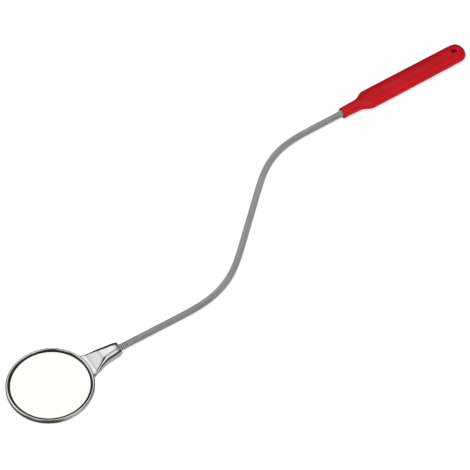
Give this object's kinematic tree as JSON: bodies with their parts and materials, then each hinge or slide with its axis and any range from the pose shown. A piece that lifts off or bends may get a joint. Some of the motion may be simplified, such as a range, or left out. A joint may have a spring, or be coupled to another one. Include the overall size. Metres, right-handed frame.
{
  "type": "flexible inspection mirror",
  "caption": "Round framed mirror on a flared neck, joined by a stay-put gooseneck of two interlocked wires to a soft oval hand grip with a hang hole.",
  "frame": {"origin": "centre of the flat back of the mirror cup", "axes": "+X along the neck towards the shaft, +Z out of the mirror face, +Y to the left seen from the mirror"},
  "size_m": [0.4435, 0.1337, 0.009],
  "materials": {
    "mirror_glass": "silvered float glass",
    "cushion_pad": "soft foam",
    "cup_chrome": "bright chrome on pressed sheet steel",
    "bezel_chrome": "bright chrome on rolled sheet steel",
    "neck_chrome": "bright chrome",
    "round_wire": "nickel-plated spring wire",
    "wedge_wire": "nickel-plated soft wire",
    "ferrule_brass": "plain turned brass",
    "core_steel": "zinc-plated steel",
    "grip_vinyl": "glossy dipped vinyl"
  },
  "bodies": {
    "grip": {"grip_cover": "grip_vinyl", "grip_core": "core_steel", "grip_ferrule": "ferrule_brass", "round_wire_grip_end": "round_wire", "wedge_wire_grip_end": "wedge_wire"},
    "stretch_01": {"round_wire_01": "round_wire", "wedge_wire_01": "wedge_wire"},
    "stretch_02": {"round_wire_02": "round_wire", "wedge_wire_02": "wedge_wire"},
    "stretch_03": {"round_wire_03": "round_wire", "wedge_wire_03": "wedge_wire"},
    "stretch_04": {"round_wire_04": "round_wire", "wedge_wire_04": "wedge_wire"},
    "stretch_05": {"round_wire_05": "round_wire", "wedge_wire_05": "wedge_wire"},
    "stretch_06": {"round_wire_06": "round_wire", "wedge_wire_06": "wedge_wire"},
    "stretch_07": {"round_wire_07": "round_wire", "wedge_wire_07": "wedge_wire"},
    "stretch_08": {"round_wire_08": "round_wire", "wedge_wire_08": "wedge_wire"},
    "stretch_09": {"round_wire_09": "round_wire", "wedge_wire_09": "wedge_wire"},
    "stretch_10": {"round_wire_10": "round_wire", "wedge_wire_10": "wedge_wire"},
    "stretch_11": {"round_wire_11": "round_wire", "wedge_wire_11": "wedge_wire"},
    "stretch_12": {"round_wire_12": "round_wire", "wedge_wire_12": "wedge_wire"},
    "stretch_13": {"round_wire_13": "round_wire", "wedge_wire_13": "wedge_wire"},
    "stretch_14": {"round_wire_14": "round_wire", "wedge_wire_14": "wedge_wire"},
    "stretch_15": {"round_wire_15": "round_wire", "wedge_wire_15": "wedge_wire"},
    "stretch_16": {"round_wire_16": "round_wire", "wedge_wire_16": "wedge_wire"},
    "stretch_17": {"round_wire_17": "round_wire", "wedge_wire_17": "wedge_wire"},
    "stretch_18": {"round_wire_18": "round_wire", "wedge_wire_18": "wedge_wire"},
    "stretch_19": {"round_wire_19": "round_wire", "wedge_wire_19": "wedge_wire"},
    "stretch_20": {"round_wire_20": "round_wire", "wedge_wire_20": "wedge_wire"},
    "stretch_21": {"round_wire_21": "round_wire", "wedge_wire_21": "wedge_wire"},
    "stretch_22": {"round_wire_22": "round_wire", "wedge_wire_22": "wedge_wire"},
    "stretch_23": {"round_wire_23": "round_wire", "wedge_wire_23": "wedge_wire"},
    "mirror_head": {"mirror_glass": "mirror_glass", "cushion_pad": "cushion_pad", "mirror_cup": "cup_chrome", "bezel_ring": "bezel_chrome", "neck_socket": "neck_chrome", "neck_ferrule": "ferrule_brass", "round_wire_head_end": "round_wire", "wedge_wire_head_end": "wedge_wire"}
  },
  "joints": [
    {"name": "base_side_bend_1", "type": "hinge", "parent": "grip", "child": "stretch_01", "pos_m": [0.29577, 0.09238, 0.0045], "axis": [0, 0, 1], "range_deg": [-25, 20]},
    {"name": "base_lift_bend_1", "type": "hinge", "parent": "stretch_01", "child": "stretch_02", "pos_m": [0.2842, 0.09208, 0.0045], "axis": [-0.0262, 0.9997, 0], "range_deg": [-25, 25]},
    {"name": "base_side_bend_2", "type": "hinge", "parent": "stretch_02", "child": "stretch_03", "pos_m": [0.27262, 0.09176, 0.0045], "axis": [0, 0, 1], "range_deg": [-25, 20]},
    {"name": "base_lift_bend_2", "type": "hinge", "parent": "stretch_03", "child": "stretch_04", "pos_m": [0.26106, 0.09111, 0.0045], "axis": [-0.0922, 0.9957, 0], "range_deg": [-25, 25]},
    {"name": "base_side_bend_3", "type": "hinge", "parent": "stretch_04", "child": "stretch_05", "pos_m": [0.24963, 0.08934, 0.0045], "axis": [0, 0, 1], "range_deg": [-25, 20]},
    {"name": "base_lift_bend_3", "type": "hinge", "parent": "stretch_05", "child": "stretch_06", "pos_m": [0.23863, 0.08576, 0.0045], "axis": [-0.3963, 0.9181, 0], "range_deg": [-25, 25]},
    {"name": "lower_side_bend_1", "type": "hinge", "parent": "stretch_06", "child": "stretch_07", "pos_m": [0.22848, 0.08022, 0.0045], "axis": [0, 0, 1], "range_deg": [-25, 20]},
    {"name": "lower_lift_bend_1", "type": "hinge", "parent": "stretch_07", "child": "stretch_08", "pos_m": [0.21931, 0.07317, 0.0045], "axis": [0.6541, -0.7564, 0], "range_deg": [-25, 25]},
    {"name": "lower_side_bend_2", "type": "hinge", "parent": "stretch_08", "child": "stretch_09", "pos_m": [0.2108, 0.06532, 0.0045], "axis": [0, 0, 1], "range_deg": [-25, 20]},
    {"name": "lower_lift_bend_2", "type": "hinge", "parent": "stretch_09", "child": "stretch_10", "pos_m": [0.20248, 0.05726, 0.0045], "axis": [0.6959, -0.7181, 0], "range_deg": [-25, 25]},
    {"name": "lower_side_bend_3", "type": "hinge", "parent": "stretch_10", "child": "stretch_11", "pos_m": [0.19416, 0.0492, 0.0045], "axis": [0, 0, 1], "range_deg": [-25, 20]},
    {"name": "lower_lift_bend_3", "type": "hinge", "parent": "stretch_11", "child": "stretch_12", "pos_m": [0.18585, 0.04115, 0.0045], "axis": [0.6959, -0.7181, 0], "range_deg": [-25, 25]},
    {"name": "upper_side_bend_1", "type": "hinge", "parent": "stretch_12", "child": "stretch_13", "pos_m": [0.17753, 0.03309, 0.0045], "axis": [0, 0, -1], "range_deg": [-25, 15]},
    {"name": "upper_lift_bend_1", "type": "hinge", "parent": "stretch_13", "child": "stretch_14", "pos_m": [0.16919, 0.02506, 0.0045], "axis": [0.6857, -0.7279, 0], "range_deg": [-25, 25]},
    {"name": "upper_side_bend_2", "type": "hinge", "parent": "stretch_14", "child": "stretch_15", "pos_m": [0.16053, 0.01738, 0.0045], "axis": [0, 0, -1], "range_deg": [-25, 15]},
    {"name": "upper_lift_bend_2", "type": "hinge", "parent": "stretch_15", "child": "stretch_16", "pos_m": [0.15114, 0.01062, 0.0045], "axis": [0.5244, -0.8515, 0], "range_deg": [-25, 25]},
    {"name": "upper_side_bend_3", "type": "hinge", "parent": "stretch_16", "child": "stretch_17", "pos_m": [0.14081, 0.00541, 0.0045], "axis": [0, 0, -1], "range_deg": [-25, 15]},
    {"name": "upper_lift_bend_3", "type": "hinge", "parent": "stretch_17", "child": "stretch_18", "pos_m": [0.12973, 0.00208, 0.0045], "axis": [0.2065, -0.9785, 0], "range_deg": [-25, 25]},
    {"name": "tip_side_bend_1", "type": "hinge", "parent": "stretch_18", "child": "stretch_19", "pos_m": [0.11827, 0.00049, 0.0045], "axis": [0, 0, -1], "range_deg": [-25, 25]},
    {"name": "tip_lift_bend_1", "type": "hinge", "parent": "stretch_19", "child": "stretch_20", "pos_m": [0.10671, 0.00004, 0.0045], "axis": [-0.0119, 0.9999, 0], "range_deg": [-25, 25]},
    {"name": "tip_side_bend_2", "type": "hinge", "parent": "stretch_20", "child": "stretch_21", "pos_m": [0.09513, 0, 0.0045], "axis": [0, 0, -1], "range_deg": [-25, 25]},
    {"name": "tip_lift_bend_2", "type": "hinge", "parent": "stretch_21", "child": "stretch_22", "pos_m": [0.08355, 0, 0.0045], "axis": [0, 1, 0], "range_deg": [-25, 25]},
    {"name": "tip_side_bend_3", "type": "hinge", "parent": "stretch_22", "child": "stretch_23", "pos_m": [0.07197, 0, 0.0045], "axis": [0, 0, -1], "range_deg": [-25, 25]},
    {"name": "tip_lift_bend_3", "type": "hinge", "parent": "stretch_23", "child": "mirror_head", "pos_m": [0.06039, 0, 0.0045], "axis": [0, 1, 0], "range_deg": [-25, 25]}
  ],
  "couplings": [
    {"joint": "base_side_bend_2", "follows": "base_side_bend_1", "ratio": 1},
    {"joint": "base_lift_bend_2", "follows": "base_lift_bend_1", "ratio": 1},
    {"joint": "base_side_bend_3", "follows": "base_side_bend_1", "ratio": 1},
    {"joint": "base_lift_bend_3", "follows": "base_lift_bend_1", "ratio": 1},
    {"joint": "lower_side_bend_2", "follows": "lower_side_bend_1", "ratio": 1},
    {"joint": "lower_lift_bend_2", "follows": "lower_lift_bend_1", "ratio": 1},
    {"joint": "lower_side_bend_3", "follows": "lower_side_bend_1", "ratio": 1},
    {"joint": "lower_lift_bend_3", "follows": "lower_lift_bend_1", "ratio": 1},
    {"joint": "upper_side_bend_2", "follows": "upper_side_bend_1", "ratio": 1},
    {"joint": "upper_lift_bend_2", "follows": "upper_lift_bend_1", "ratio": 1},
    {"joint": "upper_side_bend_3", "follows": "upper_side_bend_1", "ratio": 1},
    {"joint": "upper_lift_bend_3", "follows": "upper_lift_bend_1", "ratio": 1},
    {"joint": "tip_side_bend_2", "follows": "tip_side_bend_1", "ratio": 1},
    {"joint": "tip_lift_bend_2", "follows": "tip_lift_bend_1", "ratio": 1},
    {"joint": "tip_side_bend_3", "follows": "tip_side_bend_1", "ratio": 1},
    {"joint": "tip_lift_bend_3", "follows": "tip_lift_bend_1", "ratio": 1}
  ]
}
